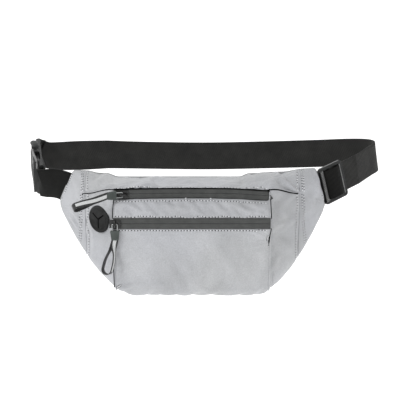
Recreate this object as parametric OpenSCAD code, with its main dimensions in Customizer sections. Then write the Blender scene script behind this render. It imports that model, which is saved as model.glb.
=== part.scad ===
// Waist bag with a front pocket, two zips, a cable port and an adjustable webbing belt.
// Origin: bottom edge of the bag, at its middle, on the rear face that rests on the wearer.
// X to the bag's right as seen from the front, Y to the rear, Z up. Millimetres.

/* [Bag] */
// Width from wing tip to wing tip
bag_w = 336; // [330:1:342]
// Height of the top edge at the middle
bag_h = 134; // [132:1:138]
// Depth of the main compartment
main_d = 50; // [47:1:52]
// Thickness of a sewn fabric panel
skin_t = 1.2; // [0.8:0.1:1.4]
// Thickness of the padded back panel
pad_t = 5; // [4:0.5:6]
// How far the wing tips sweep to the rear
wing_sweep = 14; // [10:1:18]

/* [Pocket] */
// Width of the front pocket
pocket_w = 184; // [176:1:186]
// Depth of the pocket in front of the main compartment
pocket_d = 18; // [16:1:20]

/* [Zips] */
// Visible width of a zip tape pair
zip_w = 11.8; // [10:0.2:12]
// Height of the main zip's centre line
main_zip_z = 123.5; // [122:0.5:124]
// Height of the pocket zip's centre line
pocket_zip_z = 92.5; // [91:0.5:94]
// Slider length along the zip
slider_l = 13; // [12:1:14]

/* [Belt] */
// Width of the webbing
web_w = 38; // [36:1:38]
// Thickness of the webbing
web_t = 1.5; // [1.2:0.1:1.6]

/* [Port] */
// Diameter of the rubber cable port
port_dia = 33.5; // [32:0.5:35]

/* [Hidden] */

half_w = bag_w / 2;
pocket_x = pocket_w / 2;
flat_x = pocket_x + 1;          // the front is flat across the pocket
seam_x = 132;                   // where the wings are sewn on
base_x = 83;                    // half width of the straight bottom edge
tip_z = 98;                     // height of the wing tips
shoulder_x = 153;               // where the belt edge of a wing starts
shoulder_z = bag_h + 5;
seam_gap = 0.4;                 // room between two sewn panels
front_y = -pad_t - seam_gap;    // where the front shell starts
main_zip_y = front_y - main_d - 0.6;
pocket_y = main_zip_y - pocket_d;
tape_t = 1;
tape_gap = 0.8;                 // half the gap between two tapes
silver = "#b6b8bb";
black = "#2a2a29";
tape_grey = "#434543";
block_grey = "#4c5250";

function ease(t) = let (c = max(0, min(1, t))) c * c * (3 - 2 * c);
function mix(a, b, t) = a + (b - a) * t;
function steps(a, b, n) = [for (i = [0:n]) a + (b - a) * i / n];
function unit(v) = v / norm(v);

// The bag's outline and depth at a distance x from its middle
function out_frac(x) = max(0, (abs(x) - flat_x) / (half_w - flat_x));
function top_z(x) = abs(x) < shoulder_x ? bag_h + 5 * ease((abs(x) - 50) / 70)
    : mix(shoulder_z, tip_z + 2, (abs(x) - shoulder_x) / (half_w - shoulder_x));
function bottom_z(x) = abs(x) < base_x ? 0 : (tip_z - 2) * pow((abs(x) - base_x) / (half_w - base_x), 1.85);
function rear_y(x) = wing_sweep * pow(out_frac(x), 1.5);
function depth(x) = 3.5 + (main_d - 3.5) * (1 - pow(out_frac(x), 0.9));
function seam_z(x) = let (z = main_zip_z + zip_w / 2 + seam_gap)
    abs(x) < flat_x ? z
    : abs(x) < seam_x ? mix(z, 119, ease((abs(x) - flat_x) / (seam_x - flat_x)))
    : mix(119, tip_z, (abs(x) - seam_x) / (half_w - seam_x));

// The front wall's section: share of the depth and of the height at w, from seam to rear edge
function wall_y(w) = w < 0.6 ? 1 + 0.03 * sin(180 * w / 0.6)
    : w < 0.8 ? 1 - 0.22 * (1 - cos(90 * (w - 0.6) / 0.2))
    : mix(0.78, 0, (w - 0.8) / 0.2);
function wall_z(w) = w < 0.6 ? 0.86 * w / 0.6 : w < 0.8 ? 0.86 + 0.14 * sin(90 * (w - 0.6) / 0.2) : 1;
function wall_point(x, w, t) =
    [x, rear_y(x) + front_y - (depth(x) - t) * wall_y(w), mix(seam_z(x), bottom_z(x) + t, wall_z(w))];
function roof_point(x, s, t) =
    [x, rear_y(x) + front_y - (depth(x) - t) * sin(90 * s), mix(seam_z(x), top_z(x) - t, cos(90 * s))];
function pad_point(x, v, y) =
    [x, rear_y(x) + y, mix(top_z(x), bottom_z(x) + skin_t + seam_gap, v)];

// A closed sheet between an outer and an inner surface, both functions of x and s
module sheet(xs, ss, outer, inner) {
    m = len(xs);
    n = len(ss);
    pts = concat([for (x = xs) for (s = ss) outer(x, s)], [for (x = xs) for (s = ss) inner(x, s)]);
    a = function (i, j) i * n + j;
    b = function (i, j) m * n + i * n + j;
    quads = concat(
        [for (i = [0:m - 2]) for (j = [0:n - 2]) [a(i, j), a(i + 1, j), a(i + 1, j + 1), a(i, j + 1)]],
        [for (i = [0:m - 2]) for (j = [0:n - 2]) [b(i, j), b(i, j + 1), b(i + 1, j + 1), b(i + 1, j)]],
        [for (i = [0:m - 2]) [b(i, 0), b(i + 1, 0), a(i + 1, 0), a(i, 0)]],
        [for (i = [0:m - 2]) [a(i, n - 1), a(i + 1, n - 1), b(i + 1, n - 1), b(i, n - 1)]],
        [for (j = [0:n - 2]) [b(0, j), a(0, j), a(0, j + 1), b(0, j + 1)]],
        [for (j = [0:n - 2]) [a(m - 1, j), b(m - 1, j), b(m - 1, j + 1), a(m - 1, j + 1)]]);
    polyhedron(pts, [for (q = quads) each [[q[0], q[1], q[2]], [q[0], q[2], q[3]]]]);
}

module wall(x0, x1, nx, w0, w1, nw)
    sheet(steps(x0, x1, nx), steps(w0, w1, nw),
        function (x, w) wall_point(x, w, 0), function (x, w) wall_point(x, w, skin_t));

module roof(x0, x1, nx, ns)
    sheet(steps(x0, x1, nx), steps(0, 1, ns),
        function (x, s) roof_point(x, s, 0), function (x, s) roof_point(x, s, skin_t));

module back_panel() color(silver)
    sheet(steps(-half_w + 1.5, half_w - 1.5, 24), steps(0, 1, 4),
        function (x, v) pad_point(x, v, -pad_t), function (x, v) pad_point(x, v, 0));

module top_panel() color(silver) roof(-seam_x + 0.2, seam_x - 0.2, 22, 5);

module front_panel() color(silver)
    wall(-flat_x + 0.2, flat_x - 0.2, 6, 0.14, 0.6, 3);

module base_panel() color(silver)
    wall(-flat_x + 0.2, flat_x - 0.2, 12, 0.612, 1, 6);

module port_hole() translate(port_c) rotate(port_turn) cylinder(h = 30, r = port_dia / 2 - 4, center = true, $fn = 48);

module right_side_panel() color(silver)
    wall(flat_x + 0.2, seam_x - 0.2, 5, 0, 1, 12);

module left_side_panel() color(silver) difference() {
    mirror([1, 0, 0]) wall(flat_x + 0.2, seam_x - 0.2, 5, 0, 1, 12);
    port_hole();
}

module right_wing() color(silver) {
    wall(seam_x + 0.2, half_w - 1.5, 5, 0, 1, 10);
    roof(seam_x + 0.2, half_w - 1.5, 5, 4);
}

module left_wing() color(silver) mirror([1, 0, 0]) right_wing();

// Zips: the tapes lie in a plane, the coils are on the inner side
module tape(y, z, side) color(tape_grey)
    translate([-pocket_x, y - tape_t / 2, side > 0 ? z + tape_gap : z - zip_w / 2])
        cube([pocket_w, tape_t, zip_w / 2 - tape_gap]);

module coils(y, z) color(black)
    for (side = [-1, 1])
        translate([0, y + 1.6, z + side * 1.8]) rotate([0, 90, 0])
            cylinder(h = pocket_w - 10, r = 0.7, center = true, $fn = 24);

module stops(y, z) color(black)
    for (end = [-1, 1])
        translate([end * (pocket_x - 2.5), y + 1.6, z]) cube([3, 1.8, 6], center = true);

// A slider with a drilled lug; its hole runs along X or along Z
lug_y = 4.2;                    // from the tape's middle out to the hole
pin_r = 0.95;
module slider(y, z, across) translate([0, y, z]) color(block_grey) {
    difference() {
        union() {
            translate([-slider_l / 2, -2.3, -4.9]) cube([slider_l, 1.4, 9.8]);
            translate([-slider_l / 2, 2.7, -3.6]) cube([slider_l, 1.3, 7.2]);
            translate([3.5, -1.5, -0.35]) cube([2.5, 5, 0.7]);
            translate([-1.6, -lug_y - 1.9, -1.6]) cube([3.2, lug_y, 3.2]);
        }
        translate([0, -lug_y, 0]) rotate(across ? [0, 0, 0] : [0, 90, 0])
            cylinder(h = 8, r = pin_r + 0.05, center = true, $fn = 32);
    }
}

// A wire bail through the lug; it points along -X, and its pin along Z
bail_l = 8;
block_l = 11;
module bail() color("#8d9291") {
    cylinder(h = 6.6, r = pin_r, center = true, $fn = 32);
    for (side = [-1, 1])
        translate([-bail_l, -0.6, side * 2.7 - 0.6]) cube([bail_l + 0.6, 1.2, 1.2]);
    translate([-bail_l - 1.2, -0.6, -3.3]) cube([1.2, 1.2, 6.6]);
}

module pull_block() color(block_grey) difference() {
    hull() for (dx = [0, block_l - 2]) for (dz = [-1, 1])
        translate([-bail_l + 1 - dx - 1.8, 0, dz * (dx > 0 ? 3 : 4.2)])
            rotate([90, 0, 0]) cylinder(h = 4, r = 1.2, center = true, $fn = 24);
    translate([-bail_l - 1.35, -0.75, -3.45]) cube([8, 1.5, 6.9]);
}

// The ribbon loop, a teardrop seen along its width
loop_l = 42;
loop_w = 5;
module teardrop(r) hull() {
    translate([-loop_l + loop_w, 0]) circle(r = r, $fn = 32);
    translate([-2, 0]) circle(r = max(0.3, r - loop_w + 1.5), $fn = 16);
}
module pull_ribbon(droop) color(black)
    translate([-bail_l - block_l + 0.2, 0, 0]) rotate([0, -droop, 0]) rotate([90, 0, 0])
        linear_extrude(height = 8, center = true) difference() {
            teardrop(loop_w);
            teardrop(loop_w - 1.2);
        }

main_slider_x = -82;
pocket_slider_x = -90;
pocket_zip_y = pocket_y - 0.6;
// The main pull stands off the bag a little; the pocket pull hangs down
main_pull_lift = 20;
module at_main_pull() translate([main_slider_x, main_zip_y - lug_y, main_zip_z])
    rotate([0, 0, main_pull_lift]) children();
module at_pocket_pull() translate([pocket_slider_x, pocket_zip_y - lug_y, pocket_zip_z])
    rotate([0, -90, 0]) children();

module main_zip_upper_tape() tape(main_zip_y, main_zip_z, 1);
module main_zip_lower_tape() tape(main_zip_y, main_zip_z, -1);
module main_zip_coils() coils(main_zip_y, main_zip_z);
module main_zip_stops() stops(main_zip_y, main_zip_z);
module main_slider() translate([main_slider_x, 0, 0]) slider(main_zip_y, main_zip_z, true);
module main_pull_link() at_main_pull() bail();
module main_pull_block() at_main_pull() pull_block();
module main_pull_ribbon() at_main_pull() pull_ribbon(16);
module pocket_zip_upper_tape() tape(pocket_zip_y, pocket_zip_z, 1);
module pocket_zip_lower_tape() tape(pocket_zip_y, pocket_zip_z, -1);
module pocket_zip_coils() coils(pocket_zip_y, pocket_zip_z);
module pocket_zip_stops() stops(pocket_zip_y, pocket_zip_z);
module pocket_slider() translate([pocket_slider_x, 0, 0]) slider(pocket_zip_y, pocket_zip_z, false);
module pocket_pull_link() at_pocket_pull() bail();
module pocket_pull_block() at_pocket_pull() pull_block();
module pocket_pull_ribbon() at_pocket_pull() translate([0, -3.5, 0]) pull_ribbon(-10);

// The front pocket: a band above its zip, a face below it and a gusset at each side
edge_round = 2.5;
function pocket_fade(x) = edge_round * pow(abs(x) / pocket_x, 4);
// The pocket's lower corners are rounded
function corner_lift(x) = 8.5 * pow(max(0, (abs(x) - pocket_x + 20) / 20), 2);
function band_point(x, s, t) =
    [x, mix(main_zip_y - 0.4, pocket_y, s) - 1.5 * sin(180 * s) + t,
        mix(main_zip_z - zip_w / 2, pocket_zip_z + zip_w / 2, s) + mix(-seam_gap, seam_gap, s)];
function face_point(x, w, t) =
    [x, w < 0.7 ? pocket_y - 3.5 * sin(180 * w / 0.7) + t + pocket_fade(x) * sin(90 * w / 0.7)
        : pocket_y + t + pocket_fade(x) + 13 * (1 - cos(90 * (w - 0.7) / 0.3)),
        w < 0.7 ? mix(pocket_zip_z - zip_w / 2 - seam_gap, 14, w / 0.7)
        : 14 - (13.4 - t - corner_lift(x)) * sin(90 * (w - 0.7) / 0.3)];
module pocket_band() color(silver)
    sheet(steps(-pocket_x, pocket_x, 8), steps(0, 1, 4),
        function (x, s) band_point(x, s, 0), function (x, s) band_point(x, s, skin_t));
module pocket_face() color(silver)
    sheet(steps(-pocket_x, pocket_x, 12), steps(0, 1, 12),
        function (x, w) face_point(x, w, 0), function (x, w) face_point(x, w, skin_t));
module gusset(side) color(silver) {
    edge = concat([for (s = steps(0.3, 0.7, 4)) band_point(pocket_x - 3, s, skin_t + 0.8)],
        [for (dz = [5.4, -5.4]) [0, pocket_zip_y + 5.6, pocket_zip_z + dz]],
        [for (w = steps(0.05, 0.9, 9)) face_point(pocket_x, w, skin_t + 0.8)]);
    rim_y = main_zip_y - 2.4;
    outline = concat([for (p = edge) [p[1], p[2]]], [[rim_y, corner_lift(pocket_x) + 2], [rim_y, edge[0][2] - 1]]);
    translate([side * (pocket_x - 0.7), 0, 0]) rotate([90, 0, 90])
        linear_extrude(height = skin_t, center = true) polygon(outline);
}
module pocket_left_gusset() gusset(-1);
module pocket_right_gusset() gusset(1);

// The cable port on the left side panel
port_x = -113;
port_z = 91;
port_c = [port_x, wall_point(port_x, 0.25, 0)[1] - 1.2, port_z];
port_turn = [90, 0, -38];
slit_l = 11;
module y_slit() for (a = [35, 145, 270]) rotate(a) translate([0, -0.3]) square([slit_l, 0.6]);
module port_disc() color("#3b3d3d") translate(port_c) rotate(port_turn) difference() {
    union() {
        translate([0, 0, 1.2]) cylinder(h = 2, r = port_dia / 2, $fn = 64);
        translate([0, 0, -1.8]) cylinder(h = 3.2, r = port_dia / 2 - 5, $fn = 64);
    }
    translate([0, 0, -3]) linear_extrude(height = 8) y_slit();
}
module port_washer() color("#3b3d3d") translate(port_c) rotate(port_turn)
    translate([0, 0, -5]) difference() {
        cylinder(h = 1.2, r = port_dia / 2 - 1, $fn = 64);
        translate([0, 0, -1]) cylinder(h = 4, r = port_dia / 2 - 4.5, $fn = 64);
    }

// Webbing: a flat band swept along a route, with its width held near an up direction
function spline(p, i, t) =
    let (a = p[max(0, i - 1)], b = p[i], c = p[i + 1], d = p[min(len(p) - 1, i + 2)])
    0.5 * (2 * b + (c - a) * t + (2 * a - 5 * b + 4 * c - d) * t * t + (3 * b - a - 3 * c + d) * t * t * t);
function route(p, n) = concat([for (i = [0:len(p) - 2]) for (k = [0:n - 1]) spline(p, i, k / n)], [p[len(p) - 1]]);
function along(q, i) = unit(q[min(len(q) - 1, i + 1)] - q[max(0, i - 1)]);
waist_lean = 0.16;
function up_at(p, t, share) =
    let (u = mix([-p[0] / 250 * waist_lean, 0.05, 1], buckle_up, share)) unit(u - t * (u * t));
module band(q, off, to_buckle = false) {
    n = len(q);
    sec = [for (i = [0:n - 1]) let (t = along(q, i),
            u = up_at(q[i], t, to_buckle ? ease(i / (n - 1)) : 0), o = cross(t, u))
        each [q[i] + o * (off + web_t / 2) + u * web_w / 2, q[i] + o * (off + web_t / 2) - u * web_w / 2,
            q[i] + o * (off - web_t / 2) - u * web_w / 2, q[i] + o * (off - web_t / 2) + u * web_w / 2]];
    sides = [for (i = [0:n - 2]) for (k = [0:3])
        [i * 4 + (k + 1) % 4, i * 4 + k, i * 4 + 4 + k, i * 4 + 4 + (k + 1) % 4]];
    polyhedron(sec, concat([[0, 1, 2], [0, 2, 3], [4 * n - 1, 4 * n - 2, 4 * n - 3], [4 * n - 1, 4 * n - 3, 4 * n - 4]],
        [for (f = sides) each [[f[0], f[1], f[2]], [f[0], f[2], f[3]]]]));
}

// The buckle's own frame: X from the female bar to the male bar, Y outwards, Z across the webbing
buckle_o = [-197, 42, 121.5];
buckle_turn = 104;              // heading, from +X
buckle_rise = 20;
buckle_dir = [cos(buckle_turn) * cos(buckle_rise), sin(buckle_turn) * cos(buckle_rise), sin(buckle_rise)];
buckle_up = [-cos(buckle_turn) * sin(buckle_rise), -sin(buckle_turn) * sin(buckle_rise), cos(buckle_rise)];
function buckle_at(s) = buckle_o + buckle_dir * s;

// The straight stretch beside the right wing, where the tri-glide slides
strip_start = [158, 6, 117];
strip_dir = unit([48, 34, 14.5]);
strip_l = 72;
function strip_at(s) = strip_start + strip_dir * s;
BELT = [strip_at(strip_l), [232, 66, 140], [246, 84, 144], [242, 101, 146], [218, 114, 145],
    [170, 122, 142], [100, 128, 139], [20, 131, 137], [-60, 130, 138], [-120, 126, 140]];
BELT_END = [[-121, 125.9, 140], [-160, 124.2, 139.4], [-188, 122.3, 139.6], [-204, 119.5, 141.3],
    [-214.5, 115, 145]];
LEFT_STRIP = [[-158, 6, 117], [-170, 13.5, 117], [-182, 21, 116.5], buckle_at(-14)];

module in_buckle() translate(buckle_o) rotate([0, 0, buckle_turn]) rotate([0, -buckle_rise, 0]) children();

module belt_strip() color(black) band([for (s = steps(4, strip_l, 6)) strip_at(s)], 0);
module belt_outer() color(black) band(route(BELT, 6), 1);
module belt_inner() color(black) band(route([for (i = [1:len(BELT) - 1]) BELT[i]], 6), -1);
module belt_outer_end() color(black) band(route(BELT_END, 6), 1, true);
module belt_inner_end() color(black) band(route(BELT_END, 6), -1, true);
module left_webbing() color(black) band(route(LEFT_STRIP, 4), 0, true);

// Webbing folded round a bar; the tails point along +X
bar_r = 2;
module fold(tail) linear_extrude(height = web_w, center = true) difference() {
    union() {
        circle(r = bar_r + 0.3 + web_t, $fn = 48);
        translate([0, -bar_r - 0.3 - web_t]) square([tail, 2 * (bar_r + 0.3 + web_t)]);
    }
    circle(r = bar_r + 0.3, $fn = 48);
    translate([0, -bar_r - 0.3]) square([tail + 1, 2 * (bar_r + 0.3)]);
}
module belt_male_fold() color(black) in_buckle() translate([male_bar_x, 0, 0]) fold(8);
module left_webbing_fold() color(black) in_buckle() mirror([1, 0, 0]) fold(8);

// Side-release buckle
buckle_w = 46;
buckle_t = 12;
body_y = 4;                     // the body stands outwards of its bars
housing_x = 6;
mouth_x = 40;
male_bar_x = 64;
module slab_round(x0, x1, w, t, r) translate([x0, 0, 0]) rotate([90, 0, 0])
    linear_extrude(height = t, center = true)
        translate([r, -w / 2 + r]) offset(r = r, $fn = 24) square([x1 - x0 - 2 * r, w - 2 * r]);
module bar(x) translate([x, 0, 0]) cylinder(h = buckle_w - 4, r = bar_r, center = true, $fn = 32);
module buckle_frame(x0, x1) for (side = [-1, 1])
    translate([x0, -2.2, side * (buckle_w / 2 - 1.75) - 1.75]) cube([x1 - x0, 4.4, 3.5]);
module buckle_female() color("#303232") in_buckle() {
    translate([0, body_y, 0]) difference() {
        translate([housing_x, -buckle_t / 2, -buckle_w / 2]) cube([mouth_x - housing_x, buckle_t, buckle_w]);
        translate([housing_x + 3, -3.6, -buckle_w / 2 + 3]) cube([mouth_x, 7.2, buckle_w - 6]);
        for (side = [-1, 1])
            translate([housing_x + 7, -3.6, side * buckle_w / 2 - 5]) cube([20, 7.2, 10]);
    }
    buckle_frame(-3, housing_x + 0.5);
    bar(0);
}
module buckle_male() color("#303232") in_buckle() {
    translate([mouth_x + 0.4, body_y - buckle_t / 2, -buckle_w / 2]) cube([10, buckle_t, buckle_w]);
    translate([housing_x + 8, body_y - 2.5, -3]) cube([mouth_x - housing_x - 7, 5, 6]);
    buckle_frame(mouth_x + 10, male_bar_x + 3);
    bar(male_bar_x);
}
// A sprung prong inside the housing, turning at its root
prong_z = 17;
prong_root = 37.8;
module prong(side) color("#303232") in_buckle() translate([0, body_y, 0]) {
    translate([housing_x + 9, -3, side * prong_z - 2]) cube([prong_root - housing_x - 9, 6, 4]);
    translate([prong_root, 0, side * prong_z]) rotate([90, 0, 0]) cylinder(h = 6, r = 2, center = true, $fn = 32);
    translate([housing_x + 9, -3, side * (prong_z - 1.5) - 2.5]) cube([9, 6, 5]);
}
module buckle_left_prong() prong(1);
module buckle_right_prong() prong(-1);

// Tri-glide on the straight stretch, in a frame with X along the webbing and Y outwards
glide_s = 26;
glide_l = 34;
glide_w = 48;
glide_roll = 6.2;               // follows the lean of the webbing
glide_turn = [0, -asin(strip_dir[2]), atan2(strip_dir[1], strip_dir[0])];
module on_strip(s) translate(strip_at(s)) rotate([0, 0, glide_turn[2]]) rotate([0, glide_turn[1], 0])
    rotate([-glide_roll, 0, 0]) children();
module triglide() color("#303232") on_strip(glide_s) {
    translate([0, -3.3, 0]) rotate([90, 0, 0]) linear_extrude(height = 3.4, center = true) difference() {
        offset(r = 4, $fn = 32) square([glide_l - 8, glide_w - 8], center = true);
        for (side = [-1, 1])
            translate([side * 7.2, 0]) square([9.6, glide_w - 7.6], center = true);
    }
}
module triglide_wrap() color(black) on_strip(glide_s)
    linear_extrude(height = web_w, center = true) difference() {
        translate([-9.5, -8.2]) square([19, 6.7]);
        translate([-2.8, -5.4]) square([5.6, 4.4]);
        for (side = [-1, 1]) translate([side * 9.5, -8.2]) circle(r = 3, $fn = 32);
    }

back_panel();
top_panel();
front_panel();
base_panel();
left_side_panel();
right_side_panel();
left_wing();
right_wing();
main_zip_upper_tape();
main_zip_lower_tape();
main_zip_coils();
main_zip_stops();
main_slider();
main_pull_link();
main_pull_block();
main_pull_ribbon();
pocket_band();
pocket_face();
pocket_left_gusset();
pocket_right_gusset();
pocket_zip_upper_tape();
pocket_zip_lower_tape();
pocket_zip_coils();
pocket_zip_stops();
pocket_slider();
pocket_pull_link();
pocket_pull_block();
pocket_pull_ribbon();
port_disc();
port_washer();
left_webbing();
left_webbing_fold();
belt_strip();
belt_outer();
belt_inner();
belt_outer_end();
belt_inner_end();
belt_male_fold();
triglide();
triglide_wrap();
buckle_female();
buckle_male();
buckle_left_prong();
buckle_right_prong();
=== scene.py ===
import math
import bmesh
import bpy
import numpy as np
from mathutils import Matrix, Vector
from mathutils.bvhtree import BVHTree


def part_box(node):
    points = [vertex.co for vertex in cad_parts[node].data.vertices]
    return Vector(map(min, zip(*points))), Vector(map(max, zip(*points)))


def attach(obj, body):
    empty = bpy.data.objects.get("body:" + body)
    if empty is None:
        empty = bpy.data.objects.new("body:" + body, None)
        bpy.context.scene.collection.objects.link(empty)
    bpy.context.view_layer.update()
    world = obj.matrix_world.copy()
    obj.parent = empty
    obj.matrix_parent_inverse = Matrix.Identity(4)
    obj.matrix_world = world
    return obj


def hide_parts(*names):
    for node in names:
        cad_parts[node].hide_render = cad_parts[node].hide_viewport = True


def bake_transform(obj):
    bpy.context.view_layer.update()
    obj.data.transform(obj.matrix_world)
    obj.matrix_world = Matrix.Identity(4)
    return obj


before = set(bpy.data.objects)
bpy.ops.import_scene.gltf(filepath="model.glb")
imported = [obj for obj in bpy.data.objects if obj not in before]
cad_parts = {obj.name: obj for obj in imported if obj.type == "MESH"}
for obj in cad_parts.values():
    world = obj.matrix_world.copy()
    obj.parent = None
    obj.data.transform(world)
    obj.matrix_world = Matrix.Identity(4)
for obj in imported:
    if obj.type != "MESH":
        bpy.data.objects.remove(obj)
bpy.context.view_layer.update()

# A waist bag: fabric panels by cloth simulation, zips, a cable port, and a webbing belt
# with a buckle and a tri-glide. Lengths are in millimetres here, and MM turns them into metres.
MM = 0.001
HALF_W = 168
POCKET_X = 92
FLAT_X = 93
SEAM_X = 132
BASE_X = 83
TIP_Z = 98
SHOULDER_X = 153
BAG_H = 134
MAIN_D = 50
PAD_T = 5
SWEEP = 14
FRONT_Y = -PAD_T - 0.4
WEB_W = 38
WEB_T = 1.5
SHELL_T = 0.9


def middle(node):
    low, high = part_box(node)
    return (np.array(low) + np.array(high)) / 2 / MM


MAIN_ZIP = middle("main_zip_coils") + np.array([0, -1.6, 0])
POCKET_ZIP = middle("pocket_zip_coils") + np.array([0, -1.6, 0])
ZIP_W = 11.8
LUG_Y = 4.2
PULL_BAIL = 8
PULL_BLOCK = 11


# ---------------------------------------------------------------- shapes and numbers

def ease(t):
    t = min(1, max(0, t))
    return t * t * (3 - 2 * t)


def mix(a, b, t):
    return a + (b - a) * t


def unit(v):
    return v / np.linalg.norm(v)


def bell(d, width):
    return np.exp(-(d / width) ** 2)


def out_frac(x):
    return max(0, (abs(x) - FLAT_X) / (HALF_W - FLAT_X))


def top_z(x):
    """The rear top edge, which steps up towards each wing and rounds off at its shoulder."""
    a = abs(x)
    if x > 0:
        rise = 4 * ease((a - 59) / 11) + 1.8 * ease((a - 70) / 32) + 2.8 * ease((a - 112) / 26)
        shoulder = SHOULDER_X
    else:
        rise = 4.2 * ease((a - 92) / 15) + 2.4 * ease((a - 117) / 14)
        shoulder = SHOULDER_X - 6
    if a < shoulder:
        return BAG_H + rise
    return mix(BAG_H + rise, TIP_Z + 2, ((a - shoulder) / (HALF_W - shoulder)) ** 1.3)


def bottom_z(x):
    base = BASE_X if x > 0 else BASE_X - 6
    return 0 if abs(x) < base else (TIP_Z - 2) * ((abs(x) - base) / (HALF_W - base)) ** 1.78


def rear_y(x):
    return SWEEP * out_frac(x) ** 1.5


def depth(x):
    return 3.5 + (MAIN_D - 3.5) * (1 - out_frac(x) ** 0.9)


def bow(x):
    """How far the main zip is pulled out of line: up in the middle, down at its right end."""
    return 1.3 * math.cos(math.pi * x / 184) - 1.7 * ease((x - 40) / 52) if abs(x) < 92 else 0


def seam_z(x):
    a = abs(x)
    high = MAIN_ZIP[2] + ZIP_W / 2 + 0.4 + bow(x)
    if a < FLAT_X:
        return high
    if a < SEAM_X:
        return mix(high, 119, ease((a - FLAT_X) / (SEAM_X - FLAT_X)))
    return mix(119, TIP_Z, (a - SEAM_X) / (HALF_W - SEAM_X))


def wall_point(x, w):
    """The front of the bag at x, from the zip's seam (w 0) under the base to the rear edge (w 1)."""
    if w < 0.6:
        y, z = 1 + 0.03 * math.sin(math.pi * w / 0.6), 0.86 * w / 0.6
    elif w < 0.8:
        a = math.pi / 2 * (w - 0.6) / 0.2
        y, z = 1 - 0.22 * (1 - math.cos(a)), 0.86 + 0.14 * math.sin(a)
    else:
        y, z = mix(0.78, 0, (w - 0.8) / 0.2), 1
    return (x, rear_y(x) + FRONT_Y - depth(x) * y, mix(seam_z(x), bottom_z(x), z))


def roof_point(x, s):
    """The top of the bag at x, from the rear edge (s 0) to the zip's seam (s 1)."""
    a = math.pi / 2 * s
    return (x, rear_y(x) + FRONT_Y - depth(x) * math.sin(a), mix(seam_z(x), top_z(x), math.cos(a)))


POCKET_Y = MAIN_ZIP[1] - 18


def pocket_fade(x):
    return 2.5 * (abs(x) / POCKET_X) ** 4


def corner_lift(x):
    reach = 18 if x > 0 else 24
    return (5.5 if x > 0 else 11) * max(0, (abs(x) - POCKET_X + reach) / reach) ** 2


def band_point(x, s):
    y = mix(MAIN_ZIP[1] - 0.4, POCKET_Y, s) - 1.5 * math.sin(math.pi * s)
    z = mix(MAIN_ZIP[2] - ZIP_W / 2 + bow(x), POCKET_ZIP[2] + ZIP_W / 2, s)
    return (x, y, z)


def face_point(x, w):
    fade = pocket_fade(x)
    top = POCKET_ZIP[2] - ZIP_W / 2
    if w < 0.7:
        a = w / 0.7
        y = POCKET_Y - 2.2 * math.sin(math.pi * a) + fade * math.sin(math.pi / 2 * a)
        return (x, y, mix(top, 14, a))
    a = math.pi / 2 * (w - 0.7) / 0.3
    return (x, POCKET_Y + fade + 13 * (1 - math.cos(a)), 14 - (13.4 - corner_lift(x)) * math.sin(a))


# ---------------------------------------------------------------- meshes

def new_object(name, verts, faces, uv=None):
    mesh = bpy.data.meshes.new(name)
    mesh.from_pydata([tuple(float(c) * MM for c in v) for v in verts], [], faces)
    if uv is not None:
        layer = mesh.uv_layers.new(name="UVMap")
        for loop in mesh.loops:
            layer.data[loop.index].uv = uv[loop.vertex_index]
    mesh.polygons.foreach_set("use_smooth", [True] * len(mesh.polygons))
    obj = bpy.data.objects.new(name, mesh)
    bpy.context.scene.collection.objects.link(obj)
    return obj


def dress(obj, material, body, slot, *nodes):
    """Gives a piece its material and its body, and hides the CAD nodes it stands for; the slot argument is not
    used.
    """
    obj.data.materials.clear()
    obj.data.materials.append(material)
    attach(obj, body)
    if nodes:
        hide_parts(*nodes)
    return obj


def coords(mesh):
    co = np.zeros(len(mesh.vertices) * 3)
    mesh.vertices.foreach_get("co", co)
    return co.reshape(-1, 3)


def set_coords(mesh, co):
    mesh.vertices.foreach_set("co", np.asarray(co, float).ravel())
    mesh.update()


def normals(mesh):
    n = np.zeros(len(mesh.vertices) * 3, np.float32)
    mesh.vertex_normals.foreach_get("vector", n)
    return n.reshape(-1, 3).astype(float)


def steps(a, b, n):
    return [a + (b - a) * i / n for i in range(n + 1)]


def sheet(name, xs, ss, point):
    """An open grid of cloth, its normals to the outside, with a UV map in metres."""
    m, n = len(xs), len(ss)
    pts = np.array([[point(x, s) for s in ss] for x in xs], float)
    down = np.zeros((m, n))
    down[:, 1:] = np.cumsum(np.linalg.norm(np.diff(pts, axis=1), axis=2), axis=1)
    uv = [(pts[i, j, 0] * MM, -down[i, j] * MM) for i in range(m) for j in range(n)]
    faces = [(i * n + j, i * n + j + 1, (i + 1) * n + j + 1, (i + 1) * n + j)
             for i in range(m - 1) for j in range(n - 1)]
    obj = new_object(name, pts.reshape(-1, 3), faces, uv)
    obj["grid"] = [m, n]
    return obj


def rim_distance(obj):
    """Each grid vertex's distance to the sheet's border, in millimetres."""
    m, n = obj["grid"]
    index = np.arange(m * n).reshape(m, n)
    rim = np.unique(np.concatenate([index[0], index[-1], index[:, 0], index[:, -1]]))
    co = coords(obj.data)
    return np.linalg.norm(co[:, None, :] - co[rim][None, :, :], axis=2).min(axis=1) / MM, rim


def waves(co, scale, seed):
    """Smooth noise from a few random plane waves, about -1 to 1."""
    r = np.random.default_rng(seed)
    total = np.zeros(len(co))
    for _ in range(9):
        k = r.normal(size=3) * 2 * math.pi / (scale * MM)
        total += np.sin(co @ k + r.uniform(0, 6.28)) / 3
    return total


# ---------------------------------------------------------------- cloth

CLOTHS = []


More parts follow.
